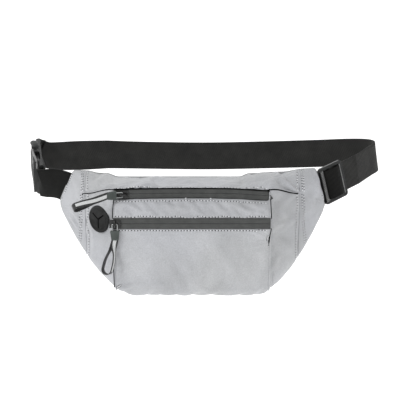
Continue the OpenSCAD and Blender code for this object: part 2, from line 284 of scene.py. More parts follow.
def make_cloth(obj, slack, pressure=0.0, stiffness=12):
    """Pins the sheet's border and gives it more cloth than its frame needs, so that it buckles."""
    dist, rim = rim_distance(obj)
    group = obj.vertex_groups.new(name="pin")
    group.add([int(i) for i in rim], 1.0, "REPLACE")
    co = coords(obj.data)
    nudge = normals(obj.data) * (waves(co, 26, len(CLOTHS) + 3) * 0.5 * MM)[:, None]
    set_coords(obj.data, co + nudge * np.clip(dist / 8, 0, 1)[:, None])
    cloth = obj.modifiers.new("Cloth", "CLOTH")
    s = cloth.settings
    s.quality = 5
    s.mass = 0.12
    s.tension_stiffness = 25
    s.compression_stiffness = 20
    s.shear_stiffness = 8
    s.bending_stiffness = stiffness * 0.05
    s.air_damping = 4
    s.vertex_group_mass = "pin"
    s.shrink_min = -slack
    s.shrink_max = -slack
    s.effector_weights.gravity = 0
    if pressure:
        s.use_pressure = True
        s.uniform_pressure_force = pressure
    CLOTHS.append((obj, co))


def calm_share(co, name):
    """How much of its movement a point keeps: little at the low edge of the sides and behind the pull."""
    if name.startswith("pocket_face"):
        return 1 - 0.7 * np.clip((co[:, 2] / MM - 40) / 25, 0, 1)
    if "side" not in name and "wing" not in name:
        return np.ones(len(co))
    above = np.array([p[2] / MM - bottom_z(p[0] / MM) for p in co])
    return 0.12 + 0.88 * np.clip(above / 34, 0, 1) ** 1.5


def run_cloth(last=20, cap=5.0):
    """Runs all the cloth at once, caps how far a point moves, and keeps the result as plain meshes."""
    for f in range(1, last + 1):
        bpy.context.scene.frame_set(f)
    graph = bpy.context.evaluated_depsgraph_get()
    for obj, co in CLOTHS:
        made = coords(obj.evaluated_get(graph).to_mesh())
        move = made - co
        length = np.linalg.norm(move, axis=1) + 1e-9
        limit = cap * MM * np.tanh(length / (cap * MM))
        limit = limit * calm_share(co, obj.name)
        obj["made"] = (co + move * (limit / length)[:, None]).ravel().tolist()
    for obj, co in CLOTHS:
        obj.modifiers.clear()
        if "made" in obj:
            set_coords(obj.data, np.array(obj["made"]).reshape(-1, 3))
            del obj["made"]
    bpy.context.scene.frame_set(1)


def crease(co, n, a, b, height, width):
    """A raised fold between two places given as (x, z), fading out at both ends."""
    a, b = np.array(a, float), np.array(b, float)
    p = co[:, [0, 2]] / MM
    along = (p - a) @ (b - a) / ((b - a) @ (b - a))
    near = a + np.clip(along, 0, 1)[:, None] * (b - a)
    d = np.linalg.norm(p - near, axis=1)
    fade = np.clip(np.sin(np.clip(along, 0.02, 0.98) * math.pi), 0, 1) ** 0.5
    profile = bell(d, width) - 0.75 * bell(d - 1.9 * width, width)
    return n * (height * MM * fade * profile)[:, None]


def tailor(obj, seam_dip, creases=(), ripple=0.0, seed=0, hollow=2.4):
    """Pulls the cloth in at its seams and adds folds and the short puckers beside a seam."""
    dist, _ = rim_distance(obj)
    co, n = coords(obj.data), normals(obj.data)
    out = co + n * (seam_dip * MM * (1 - bell(dist, hollow)))[:, None]
    for c in creases:
        out = out + crease(co, n, *c)
    if ripple:
        ripple = ripple * calm_share(co, obj.name)[:, None]
        near = bell(dist - 4, 6) * np.clip(dist / 3, 0, 1) * np.clip(-1.6 * n[:, 1] - 0.3, 0, 1)
        out = out + n * ripple * (MM * near * waves(co, 9, seed))[:, None]
    out[:, 2] = np.maximum(out[:, 2], -0.3 * MM)
    set_coords(obj.data, out)


def thicken(obj, thickness, levels=1):
    solid = obj.modifiers.new("Solidify", "SOLIDIFY")
    solid.thickness = thickness * MM
    solid.offset = -1
    solid.use_even_offset = False
    if levels:
        sub = obj.modifiers.new("Subdivision", "SUBSURF")
        sub.levels = sub.render_levels = levels


def bake_modifiers(obj):
    """Replaces the mesh with what its modifiers make."""
    graph = bpy.context.evaluated_depsgraph_get()
    mesh = bpy.data.meshes.new_from_object(obj.evaluated_get(graph))
    obj.modifiers.clear()
    obj.data = mesh


# ---------------------------------------------------------------- materials

class Paint:
    """A small helper that builds one procedural material."""

    def __init__(self, name, roughness=0.6, sheen=0.0, metallic=0.0, coat=0.0, gloss=0.3):
        self.material = bpy.data.materials.new(name)
        self.material.use_nodes = True
        self.tree = self.material.node_tree
        self.shader = self.tree.nodes["Principled BSDF"]
        self.shader.inputs["Roughness"].default_value = roughness
        self.shader.inputs["Metallic"].default_value = metallic
        self.shader.inputs["Sheen Weight"].default_value = sheen
        self.shader.inputs["Coat Weight"].default_value = coat
        self.shader.inputs["Specular IOR Level"].default_value = gloss
        self.bumped = None

    def add(self, kind, **inputs):
        node = self.tree.nodes.new(kind)
        for key, value in inputs.items():
            self.join(value, node.inputs[int(key[1:]) if key[0] == "i" and key[1:].isdigit() else key])
        return node

    def join(self, value, socket):
        if isinstance(value, bpy.types.NodeSocket):
            self.tree.links.new(value, socket)
        else:
            socket.default_value = value

    def maths(self, how, a, b=0.0, c=0.0):
        node = self.add("ShaderNodeMath", i0=a, i1=b, i2=c)
        node.operation = how
        return node.outputs[0]

    def place(self, uv=False):
        return self.add("ShaderNodeTexCoord").outputs["UV" if uv else "Object"]

    def split(self, vector):
        return self.add("ShaderNodeSeparateXYZ", Vector=vector).outputs

    def noise(self, where, per_m, detail=3.0):
        node = self.add("ShaderNodeTexNoise", Vector=where, Scale=per_m, Detail=detail)
        return node.outputs["Fac"]

    def cells(self, where, per_m):
        node = self.add("ShaderNodeTexVoronoi", Vector=where, Scale=per_m)
        return node.outputs["Distance"]

    def ramp(self, value, *stops):
        node = self.add("ShaderNodeValToRGB", Fac=value)
        ends = node.color_ramp.elements
        for i, (at, colour) in enumerate(stops):
            e = ends[i] if i < 2 else ends.new(at)
            e.position = at
            e.color = (*colour, 1)
        return node.outputs["Color"]

    def blend(self, how, fac, a, b):
        node = self.add("ShaderNodeMix")
        node.data_type = "RGBA"
        node.blend_type = how
        self.join(fac, node.inputs[0])
        self.join(a, node.inputs[6])
        self.join(b, node.inputs[7])
        return node.outputs[2]

    def colour(self, value):
        self.join(value, self.shader.inputs["Base Color"])

    def rough(self, value, low, high):
        node = self.add("ShaderNodeMapRange", i0=value)
        node.inputs[3].default_value = low
        node.inputs[4].default_value = high
        self.join(node.outputs[0], self.shader.inputs["Roughness"])

    def bump(self, height, distance_mm, strength=1.0):
        node = self.add("ShaderNodeBump", Height=height, Strength=strength)
        node.inputs["Distance"].default_value = distance_mm * MM
        if self.bumped:
            self.tree.links.new(self.bumped, node.inputs["Normal"])
        self.bumped = node.outputs["Normal"]
        self.tree.links.new(self.bumped, self.shader.inputs["Normal"])


def reflective_cloth(name="reflective_cloth", light=(0.455, 0.463, 0.488), dark=(0.375, 0.382, 0.400)):
    """Silver fabric coated with glass beads: fine speckle, soft cloudy tone, faint scuffs."""
    p = Paint(name, 0.5, sheen=0.15)
    here = p.place()
    beads = p.cells(here, 2600)
    speckle = p.noise(here, 900, 2)
    cloud = p.noise(here, 22, 4)
    tone = p.ramp(cloud, (0.3, dark), (0.7, light))
    grain = p.ramp(speckle, (0.35, (0.80, 0.80, 0.80)), (0.65, (1.12, 1.12, 1.12)))
    dotted = p.blend("MULTIPLY", 0.6, tone, grain)
    pits = p.ramp(beads, (0.0, (1.1, 1.1, 1.1)), (0.6, (0.86, 0.86, 0.86)))
    warm = p.ramp(p.noise(here, 9, 2), (0.4, (1.0, 1.0, 1.0)), (0.7, (1.0, 0.995, 0.955)))
    p.colour(p.blend("MULTIPLY", 0.8, p.blend("MULTIPLY", 0.5, dotted, pits), warm))
    p.rough(speckle, 0.42, 0.62)
    p.bump(beads, 0.12, 0.5)
    p.bump(p.noise(here, 240, 4), 0.3, 0.5)
    p.bump(p.noise(here, 42, 5), 2.2, 0.45)
    return p.material


def webbing_cloth(name="webbing_cloth", twill=True, tone=1.0):
    """Black nylon webbing: a herringbone of slanted yarns, or fine ribs across, with denser edges; a tone below
    1 darkens the whole copy as painted shade.
    """
    p = Paint(name, 0.6, sheen=0.06 * tone, gloss=0.15 * tone)
    uv = p.split(p.place(uv=True))
    column = p.maths("MULTIPLY", uv[0], 1.7)
    slant = p.maths("ADD", uv[1], column) if twill else uv[1]
    yarn = p.maths("SINE", p.maths("MULTIPLY", slant, 2 * math.pi / ((3.0 if twill else 1.5) * MM)))
    end = p.maths("SINE", p.maths("MULTIPLY", uv[0], 2 * math.pi / (0.8 * MM)))
    weave = p.maths("MULTIPLY_ADD", yarn, 0.5, p.maths("MULTIPLY_ADD", end, 0.18, 0.5))
    fuzz = p.noise(p.place(), 1800, 3)
    cloud = p.noise(p.place(), 60, 3)
    high = (0.038 if twill else 0.062) * tone
    base = p.ramp(weave, (0.1, [0.005 * tone] * 3), (0.9, (high, high, high * 0.96)))
    worn = p.ramp(cloud, (0.3, (0.8, 0.8, 0.8)), (0.75, (1.25, 1.25, 1.22)))
    p.colour(p.blend("MULTIPLY", 1.0, base, worn))
    p.rough(fuzz, 0.5, 0.75)
    p.bump(weave, 0.35, 0.9)
    p.bump(fuzz, 0.12, 0.5)
    return p.material


def zip_tape_cloth():
    """Coated zip tape: a smooth dark grey film over fine lengthwise ribs."""
    p = Paint("zip_tape_cloth", 0.42, coat=0.1)
    here = p.place()
    xyz = p.split(here)
    rib = p.maths("SINE", p.maths("MULTIPLY", xyz[2], 2 * math.pi / (0.9 * MM)))
    cross = p.maths("SINE", p.maths("MULTIPLY", xyz[0], 2 * math.pi / (1.3 * MM)))
    weave = p.maths("MULTIPLY_ADD", rib, 0.3, p.maths("MULTIPLY_ADD", cross, 0.2, 0.5))
    cloud = p.noise(here, 120, 4)
    base = p.ramp(cloud, (0.3, (0.040, 0.042, 0.041)), (0.7, (0.060, 0.062, 0.060)))
    p.colour(p.blend("MULTIPLY", 0.5, base, p.ramp(weave, (0.1, (0.6, 0.6, 0.6)), (0.9, (1.2, 1.2, 1.2)))))
    p.rough(cloud, 0.34, 0.5)
    p.bump(weave, 0.14, 0.7)
    return p.material


def plastic(name, dark, light, roughness, grain=700, grain_mm=0.12, gloss=0.3):
    """Moulded plastic or rubber with a fine matt grain and slightly worn, lighter patches."""
    p = Paint(name, roughness, gloss=gloss)
    here = p.place()
    cloud = p.noise(here, 90, 4)
    fine = p.noise(here, grain, 3)
    p.colour(p.ramp(cloud, (0.3, dark), (0.75, light)))
    p.rough(fine, roughness - 0.1, roughness + 0.12)
    p.bump(fine, grain_mm, 0.5)
    return p.material


def metal(name, tone, roughness):
    p = Paint(name, roughness, metallic=0.9)
    here = p.place()
    scratch = p.noise(p.add("ShaderNodeMapping", Vector=here, Scale=(1, 6, 1)).outputs[0], 500, 3)
    p.colour(p.ramp(p.noise(here, 200, 3), (0.3, [c * 0.8 for c in tone]), (0.7, tone)))
    p.rough(scratch, roughness - 0.08, roughness + 0.15)
    p.bump(scratch, 0.05, 0.4)
    return p.material


def thread(name, tone):
    """Twisted sewing thread."""
    p = Paint(name, 0.55, sheen=0.3)
    here = p.place()
    ply = p.noise(here, 3500, 2)
    p.colour(p.ramp(ply, (0.3, [c * 0.7 for c in tone]), (0.7, tone)))
    p.rough(ply, 0.45, 0.65)
    p.bump(ply, 0.1, 0.8)
    return p.material


def spacer_mesh():
    """Open black air mesh for the rear panel."""
    p = Paint("spacer_mesh", 0.8, sheen=0.4)
    here = p.place()
    holes = p.cells(p.add("ShaderNodeMapping", Vector=here, Scale=(1, 1, 0.6)).outputs[0], 480)
    fuzz = p.noise(here, 1500, 3)
    base = p.ramp(holes, (0.12, (0.006, 0.006, 0.006)), (0.45, (0.05, 0.05, 0.052)))
    p.colour(p.blend("MULTIPLY", 0.5, base, p.ramp(fuzz, (0.3, (0.7, 0.7, 0.7)), (0.7, (1.3, 1.3, 1.3)))))
    p.rough(fuzz, 0.7, 0.9)
    p.bump(holes, 0.8, 0.9)
    return p.material


def stripe_ribbon():
    """Narrow ribbon: black selvedges and underside, with a woven silver stripe on the outer face."""
    p = Paint("stripe_ribbon", 0.5, sheen=0.2)
    uv = p.split(p.place(uv=True))
    from_middle = p.maths("ABSOLUTE", uv[0])
    silver = p.maths("LESS_THAN", from_middle, 1.95 * MM)
    rib = p.maths("SINE", p.maths("MULTIPLY", uv[1], 2 * math.pi / (0.9 * MM)))
    fuzz = p.noise(p.place(), 1600, 3)
    black = p.ramp(fuzz, (0.3, (0.008, 0.008, 0.008)), (0.7, (0.03, 0.03, 0.03)))
    bright = p.ramp(fuzz, (0.3, (0.42, 0.43, 0.43)), (0.7, (0.68, 0.69, 0.69)))
    p.colour(p.blend("MIX", silver, black, bright))
    p.rough(fuzz, 0.4, 0.65)
    p.bump(rib, 0.15, 0.6)
    return p.material


M = {
    "cloth": reflective_cloth(),
    "binding": reflective_cloth("binding_cloth", (0.36, 0.37, 0.38), (0.26, 0.265, 0.27)),
    "web": webbing_cloth(),
    "web_plain": webbing_cloth("webbing_plain", twill=False),
    # a darker copy of the same webbing: painted shade for the short webbing and the tri-glide webbing
    "web_shaded": webbing_cloth("webbing_shaded", True, 0.38),
    "tape": zip_tape_cloth(),
    "coil": plastic("coil_nylon", (0.01, 0.01, 0.01), (0.03, 0.03, 0.03), 0.4),
    "buckle": plastic("buckle_plastic", (0.013, 0.014, 0.014), (0.030, 0.031, 0.031), 0.33),
    "knurl": plastic("knurled_plastic", (0.030, 0.031, 0.031), (0.095, 0.098, 0.098), 0.5, 900, 0.6),
    "block": plastic("block_rubber", (0.040, 0.047, 0.044), (0.074, 0.085, 0.080), 0.65, 1200, 0.2),
    "port": plastic("port_rubber", (0.018, 0.018, 0.018), (0.042, 0.043, 0.043), 0.85, 1500, 0.3, 0.04),
    "slider": metal("slider_metal", (0.05, 0.05, 0.05), 0.3),
    "wire": metal("wire_metal", (0.35, 0.36, 0.36), 0.3),
    # light grey plastic that stands in for light on the near-black buckle and tri-glide: painted highlights
    "gloss": plastic("painted_highlight_grey", (0.13, 0.13, 0.13), (0.26, 0.26, 0.26), 0.25, 500, 0.08),
    "thread": thread("silver_thread", (0.88, 0.89, 0.91)),
    "mesh": spacer_mesh(),
    "ribbon": stripe_ribbon(),
    # near black used for painted shade: shadow strips beside seams, the pocket and the main zip, shade in the
    # port's slits and needle holes
    "dark": plastic("painted_shadow_black", (0.004, 0.004, 0.004), (0.009, 0.009, 0.009), 0.9, gloss=0.03),
}


# ---------------------------------------------------------------- the bag's panels

def top_panel():
    obj = sheet("top_panel_cloth", steps(-SEAM_X, SEAM_X, 88), steps(0, 1, 20), roof_point)
    make_cloth(obj, 0.02, 0.15)
    return obj


def side_panel(name, x0, x1):
    obj = sheet(name, steps(x0, x1, 14), steps(0, 1, 44), wall_point)
    make_cloth(obj, 0.022, 0.15)
    return obj


def front_panel():
    obj = sheet("front_and_base_cloth", steps(-POCKET_X, POCKET_X, 56), steps(0.14, 1, 34), wall_point)
    make_cloth(obj, 0.01)
    return obj


def wing(name, x0, x1):
    """One wing: its front and top come from one cut, from the top edge round to the bottom edge."""
    def point(x, v):
        return roof_point(x, v / 0.3) if v < 0.3 else wall_point(x, (v - 0.3) / 0.7)
    obj = sheet(name, steps(x0, x1, 14), steps(0, 1, 40), point)
    make_cloth(obj, 0.012, 0.1)
    return obj


def pocket_band():
    obj = sheet("pocket_band_cloth", steps(-POCKET_X, POCKET_X, 74), steps(0, 1, 9), band_point)
    make_cloth(obj, 0.035, 0.2)
    return obj


def pocket_face():
    obj = sheet("pocket_face_cloth", steps(-POCKET_X, POCKET_X, 70), steps(0, 1, 44), face_point)
    make_cloth(obj, 0.014, 0.15)
    return obj


def gusset(name, side):
    """The side wall of the pocket, between its front edge and the bag."""
    front = [band_point(POCKET_X, s) for s in steps(0, 1, 8)] \
        + [face_point(POCKET_X, w) for w in steps(0, 1, 26)]

    def point(k, v):
        p = front[int(round(k))]
        back = max(p[1], FRONT_Y - MAIN_D - 0.5)
        return (side * (POCKET_X + 0.2 - 0.8 * math.sin(math.pi * v)), mix(p[1] + 0.3, back, v), p[2])
    order = steps(0, len(front) - 1, len(front) - 1)
    obj = sheet(name, order if side < 0 else order[::-1], steps(0, 1, 6), point)
    return obj


PAD_TOP, PAD_BOTTOM = 0.5, 1.2


def back_pad():
    """The padded rear panel: a closed crowned form with air mesh, sewn into channels."""
    xs, vs = steps(-HALF_W + 1.5, HALF_W - 1.5, 84), steps(0, 1, 34)
    m, n = len(xs), len(vs)
    rear, fore, uv = [], [], []
    for x in xs:
        for v in vs:
            z = mix(top_z(x) - PAD_TOP, bottom_z(x) + PAD_BOTTOM, v)
            edge = min(v, 1 - v) * (top_z(x) - bottom_z(x))
            edge = min(edge, (HALF_W - abs(x)) * 0.8)
            crown = 1 - math.exp(-max(0, edge) / 7)
            groove = sum(bell(abs(x) - c, 2.2) for c in (30, 88)) + bell(z - 62, 2.2) * (abs(x) < 88)
            rear.append((x, rear_y(x) - 2.6 + 3.2 * crown - 1.9 * min(1, groove) * crown, z))
            fore.append((x, rear_y(x) - PAD_T + 0.2, z))
            uv.append((x * MM, z * MM))
    faces = []
    base = m * n
    for i in range(m - 1):
        for j in range(n - 1):
            a, b, c, d = i * n + j, i * n + j + 1, (i + 1) * n + j + 1, (i + 1) * n + j
            faces.append((d, c, b, a))
            faces.append((base + a, base + b, base + c, base + d))
    ring = [(i, 0) for i in range(m)] + [(m - 1, j) for j in range(1, n)] \
        + [(i, n - 1) for i in range(m - 2, -1, -1)] + [(0, j) for j in range(n - 2, 0, -1)]
    for (i, j), (k, l) in zip(ring, ring[1:] + ring[:1]):
        faces.append((i * n + j, k * n + l, base + k * n + l, base + i * n + j))
    obj = new_object("back_pad", rear + fore, faces, uv + uv)
    bm = bmesh.new()
    bm.from_mesh(obj.data)
    bmesh.ops.recalc_face_normals(bm, faces=bm.faces)
    bm.to_mesh(obj.data)
    bm.free()
    obj.data.polygons.foreach_set("use_smooth", [True] * len(obj.data.polygons))
    sub = obj.modifiers.new("Subdivision", "SUBSURF")
    sub.levels = sub.render_levels = 1
    dress(obj, M["mesh"], "root", "back_mesh", "back_panel")
    return obj


def swept(name, path, ups, outline, closed=False, spread=None):
    """A solid with the given outline (across, out) swept along a path, with its up directions."""
    path = np.array(path, float)
    n, k = len(path), len(outline)
    verts, uv, run = [], [], 0.0
    for i, p in enumerate(path):
        before = path[i - 1] if i or closed else p
        after = path[(i + 1) % n] if i < n - 1 or closed else p
        t = unit(after - before)
        u = np.array(ups[i], float)
        u = unit(u - t * (u @ t))
        o = np.cross(t, u)
        if i:
            run += np.linalg.norm(p - path[i - 1])
        for across, out in outline:
            verts.append(p + u * across * (spread[i] if spread else 1) + o * out)
            uv.append((across * MM, run * MM))
    rings = range(n if closed else n - 1)
    faces = [(i * k + j, i * k + (j + 1) % k, (i + 1) % n * k + (j + 1) % k, (i + 1) % n * k + j)
             for i in rings for j in range(k)]
    if not closed:
        faces += [tuple(range(k))[::-1], tuple((n - 1) * k + j for j in range(k))]
    return new_object(name, verts, faces, uv)


def flat_outline(width, thick, across=10):
    """A flat band's outline with soft edges."""
    w, t = width / 2, thick / 2
    top = [(-w + 0.35 + (2 * w - 0.7) * i / across, t) for i in range(across + 1)]
    low = [(x, -t) for x, _ in top[::-1]]
    return top + [(w, t * 0.35), (w, -t * 0.35)] + low + [(-w, -t * 0.35), (-w, t * 0.35)]


def tube_outline(radius, sides=10):
    return [(radius * math.cos(2 * math.pi * i / sides), radius * math.sin(2 * math.pi * i / sides))
            for i in range(sides)]


def spline(points, n):
    """A smooth curve through the points, n steps between each two."""
    p = [np.array(q, float) for q in points]
    out = []
    for i in range(len(p) - 1):
        a, b, c, d = p[max(0, i - 1)], p[i], p[i + 1], p[min(len(p) - 1, i + 2)]
        for k in range(n):
            t = k / n
            out.append(0.5 * (2 * b + (c - a) * t + (2 * a - 5 * b + 4 * c - d) * t * t
                              + (3 * b - a - 3 * c + d) * t ** 3))
    return out + [p[-1]]


def even(path, pitch):
    """The same path with points every pitch millimetres."""
    path = np.array(path, float)
    s = np.concatenate([[0], np.cumsum(np.linalg.norm(np.diff(path, axis=0), axis=1))])
    at = np.linspace(0, s[-1], max(2, int(round(s[-1] / pitch)) + 1))
    return np.stack([np.interp(at, s, path[:, c]) for c in range(3)], axis=1)


def stitches(name, paths, pieces, material, pitch=3.6, length=2.5, thick=0.5, slot="shell_fabric",
             body="root", outside=(0, -3.2, 0.9)):
    """Rows of thread laid on the surface of the given pieces; one joined object."""
    graph = bpy.context.evaluated_depsgraph_get()
    trees = [BVHTree.FromObject(p, graph) for p in pieces]
    verts, faces, holes = [], [], []
    for path in paths:
        pts = even(path, pitch)
        for a, b in zip(pts[:-1], pts[1:]):
            mid = Vector(((a + b) / 2 + outside) * MM)
            near = (tree.find_nearest(mid, 0.02) for tree in trees)
            hits = [h for h in near if h[0] is not None and h[1].y < 0.3]
            if not hits:
                continue
            at, n, _, _ = min(hits, key=lambda h: h[3])
            n = np.array(n)
            c = np.array(at) / MM + n * thick * 0.25
            t = b - a
            t = unit(t - n * (t @ n))
            w = np.cross(n, t)
            base = len(verts)
            # a small dark disc at each stitch's end: painted shade in the needle hole
            holes += [c - t * pitch / 2 + n * 0.1 + (t * math.sin(k) + w * math.cos(k)) * 0.68
                      for k in steps(0, 5 * math.pi / 3, 5)]
            for i, along in enumerate((-0.5, -0.32, 0, 0.32, 0.5)):
                r = thick / 2 * (0.35, 0.95, 1.1, 0.95, 0.35)[i]
                lift = (-0.25, 0.02, 0.12, 0.02, -0.25)[i]
                for k in range(6):
                    ang = math.pi / 3 * k
                    place = c + t * along * length + n * (lift + r * math.sin(ang))
                    verts.append(place + w * r * math.cos(ang))
            for i in range(4):
                for k in range(6):
                    faces.append((base + i * 6 + k, base + i * 6 + (k + 1) % 6,
                                  base + (i + 1) * 6 + (k + 1) % 6, base + (i + 1) * 6 + k))
            faces.append(tuple(base + k for k in range(6))[::-1])
            faces.append(tuple(base + 24 + k for k in range(6)))
    dots = [tuple(range(i, i + 6)) for i in range(0, len(holes), 6)]
    dress(new_object(name + "_needle_holes", holes, dots), M["dark"], body, slot)
    return dress(new_object(name, verts, faces), material, body, slot)


# Sheets of cloth, their CAD nodes, seam dips and the folds that each one shows
top = top_panel()
left_side = side_panel("left_side_cloth", -SEAM_X, -POCKET_X)
right_side = side_panel("right_side_cloth", POCKET_X, SEAM_X)
front = front_panel()
left_wing = wing("left_wing_cloth", -HALF_W + 1.5, -SEAM_X)
right_wing = wing("right_wing_cloth", SEAM_X, HALF_W - 1.5)
band = pocket_band()
face = pocket_face()
run_cloth()

tailor(top, 1.0, [((100, 142), (131, 118), 4.2, 2.0), ((68, 138), (78, 129), 2.2, 1.8),
                  ((-107, 139), (-117, 130), 1.5, 2.0), ((-36, 134.5), (-77, 129), 2.6, 2.0),
                  ((108, 124), (120, 121), 1.4, 1.6), ((-88, 128), (-104, 122), 1.2, 2.2)], 0.5, 1)
tailor(left_side, 0.9, [((-122, 92), (-131, 68), 2.2, 2.6), ((-104, 68), (-122, 60), 2.0, 2.2),
                        ((-98, 40), (-112, 22), 1.0, 4.0)], 0.5, 2)
tailor(right_side, 0.9, [((93, 80), (112, 86), 2.6, 1.8), ((100, 112), (112, 92), 1.8, 2.4),
                         ((112, 70), (124, 40), 0.9, 5.0)], 0.5, 3)
tailor(front, 0.6)
tailor(left_wing, 0.9, [((-150, 94), (-135, 77), 2.6, 1.9), ((-144, 82), (-132, 70), 2.3, 1.8),
                        ((-152, 84), (-143, 72), 1.8, 1.6)], 0.6, 4)
tailor(right_wing, 0.9, [((140, 120), (148, 96), 0.9, 4.0)], 0.5, 5)
tailor(band, 0.8, [((-84, 114), (-60, 106), 1.6, 2.0), ((-34, 112), (8, 105), 1.4, 2.2),
                   ((36, 115), (70, 104), 1.7, 2.2), ((70, 113), (88, 107), 1.8, 1.8),
                   ((-58, 114), (-53, 104), 0.9, 1.6), ((-12, 114), (-17, 104), 0.8, 1.6),
                   ((24, 114), (19, 104), 0.9, 1.6), ((86, 115), (80, 104), 1.1, 1.6)], 0.5, 6)
tailor(face, 0.9, [((64, 63), (91, 68), 2.8, 1.8), ((70, 84), (86, 76), 1.6, 1.8),
                   ((-88, 8), (-66, 20), 1.6, 2.4), ((-70, 18), (-20, 17), 0.9, 4.0),
                   ((12, 8), (56, 12), 1.3, 3.6),
                   ((-60, 74), (-30, 60), 0.7, 5.0), ((20, 66), (58, 40), 0.7, 6.0)], 0.45, 7)

left_gusset = gusset("pocket_left_gusset_cloth", -1)
right_gusset = gusset("pocket_right_gusset_cloth", 1)
for piece, nodes in ((top, ["top_panel"]), (left_side, ["left_side_panel"]),
                     (right_side, ["right_side_panel"]), (front, ["front_panel", "base_panel"]),
                     (left_wing, ["left_wing"]),
                     (right_wing, ["right_wing"]), (band, ["pocket_band"]), (face, ["pocket_face"]),
                     (left_gusset, ["pocket_left_gusset"]), (right_gusset, ["pocket_right_gusset"])):
    thicken(piece, SHELL_T)
    dress(piece, M["cloth"], "root", "shell_fabric", *nodes)
back_pad()


# ---------------------------------------------------------------- seams and bindings

def seam(name, path, ups, radius=1.1, sink=0.6, material="cloth", flat=1.0):
    """A turned seam allowance that fills the joint between two panels; in the dark material it is a strip of
    painted shadow.
    """
    outline = [(a * flat, b - sink) for a, b in tube_outline(radius, 8)]
    return dress(swept(name, path, ups, outline), M[material], "root", "shell_fabric")


def rim_path(x0, x1, n, point, back=0.0, down=0.0):
    return [np.array(point(x)) + (0, back, down) for x in steps(x0, x1, n)]


def seam_pieces():
    up, rear = (0, 0, 1), (0, 1, 0)
    for side, word in ((-1, "left"), (1, "right")):
        roof = [roof_point(side * SEAM_X, s) for s in steps(0, 1, 12)]
        wall = [wall_point(side * SEAM_X, w) for w in steps(0, 1, 30)]
        seam(word + "_wing_seam", roof + wall[1:], [(side, 0, 0)] * 43, 1.0, 0.0)
        line = [roof_point(side * x, 1) for x in steps(POCKET_X, HALF_W - 2, 30)]
        seam(word + "_top_seam", line, [up] * 31, 0.9, 0.0)
        # a black strip just below the top seam: painted shadow, thicker on the right
        low = [np.array(p) + (0, -0.9, -1.0) for p in line[:16 if side > 0 else 26]]
        seam(word + "_top_piping", low, [up] * len(low), 0.75 if side > 0 else 0.5, 0.0, "dark")
        front = [wall_point(side * POCKET_X, w) for w in steps(0.02, 1, 30)]
        seam(word + "_front_seam", front, [(side, 0, 0)] * 31, 0.9, 0.0)
        edge = [face_point(side * POCKET_X, w) for w in steps(0, 1, 40)]
        seam(word + "_pocket_piping", edge, [(side, 0, 0)] * 41, 1.0, 0.0)
        # a black strip just outside the pocket's side edge: painted shadow, down the whole edge on the left and
        # only near its top on the right
        slant = 3.6 if side > 0 else 0
        dark = [np.array(p) + (side * 0.9 - slant * i / 9, -0.7, 0)
                for i, p in enumerate(edge[:38 if side < 0 else 9])]
        seam(word + "_pocket_edge", dark, [(side, 0, 0)] * len(dark), 0.6, 0.0, "dark")
        edge = [band_point(side * POCKET_X, s) for s in steps(0, 1, 10)]
        seam(word + "_band_piping", edge, [(side, 0, 0)] * 11, 0.9, 0.0)
        # a black strip just outside the band's side edge: painted shadow
        dark = [np.array(p) + (side * 0.9, -0.7, 0) for p in edge]
        seam(word + "_band_edge", dark, [(side, 0, 0)] * 11, 0.6, 0.0, "dark")
    wide = HALF_W - 1.5
    top_rim = rim_path(-wide, wide, 120, lambda x: roof_point(x, 0), 1.2, -0.7)
    seam("top_rear_binding", top_rim, [rear] * 121, 1.5, 0.0, "binding", 1.5)
    low_rim = rim_path(-wide, wide, 120, lambda x: wall_point(x, 1), 1.2, 0.8)
    seam("bottom_rear_binding", low_rim, [rear] * 121, 1.5, 0.0, "binding", 1.5)
    # a black strip along the tape's upper edge: painted shadow under the top panel's overhang
    lip = [(x, MAIN_ZIP[1] - 0.9, MAIN_ZIP[2] + ZIP_W / 2 + bow(x) + 0.1)
           for x in steps(-POCKET_X, POCKET_X, 92)]
    seam("main_zip_painted_shadow", lip, [up] * 93, 0.8, 0.0, "dark")
    ridge = [np.array(wall_point(98.6, w)) + (0, -0.5, 0) for w in steps(0.3, 0.74, 24)]
    seam("right_side_ridge", ridge, [(1, 0, 0)] * 25, 1.1, 0.0)
    foot = rim_path(-POCKET_X, POCKET_X, 80, lambda x: face_point(x, 1), 0.2, 0.3)
    seam("pocket_foot_seam", foot, [rear] * 81, 1.0, 0.0)
    for side, word in ((-1, "left"), (1, "right")):
        x = side * wide
        tip = [(x, rear_y(x) - 4.2, z) for z in steps(bottom_z(x) + 1, top_z(x) - 1, 12)]
        seam(word + "_tip_binding", tip, [rear] * 13, 1.5, 0.0, "binding", 1.6)


# ---------------------------------------------------------------- zips

def tape_half(name, centre, side, bend, body, node):
    """Half of a coated zip tape, with a soft lip where the two halves meet."""
    outline = [(0.07, -0.5), (0.07, 0.25), (0.3, 0.46), (0.95, 0.52), (1.9, 0.44), (4.6, 0.4),
               (6.5, 0.45), (6.5, -0.5)]
    outline = [(side * a, b) for a, b in outline]
    if side < 0:
        outline = outline[::-1]
    path = [(x, centre[1], centre[2] + bend(x)) for x in steps(-POCKET_X, POCKET_X, 92)]
    obj = swept(name, path, [(0, 0, 1)] * 93, outline)
    return dress(obj, M["tape"], body, "zip_tape", node)


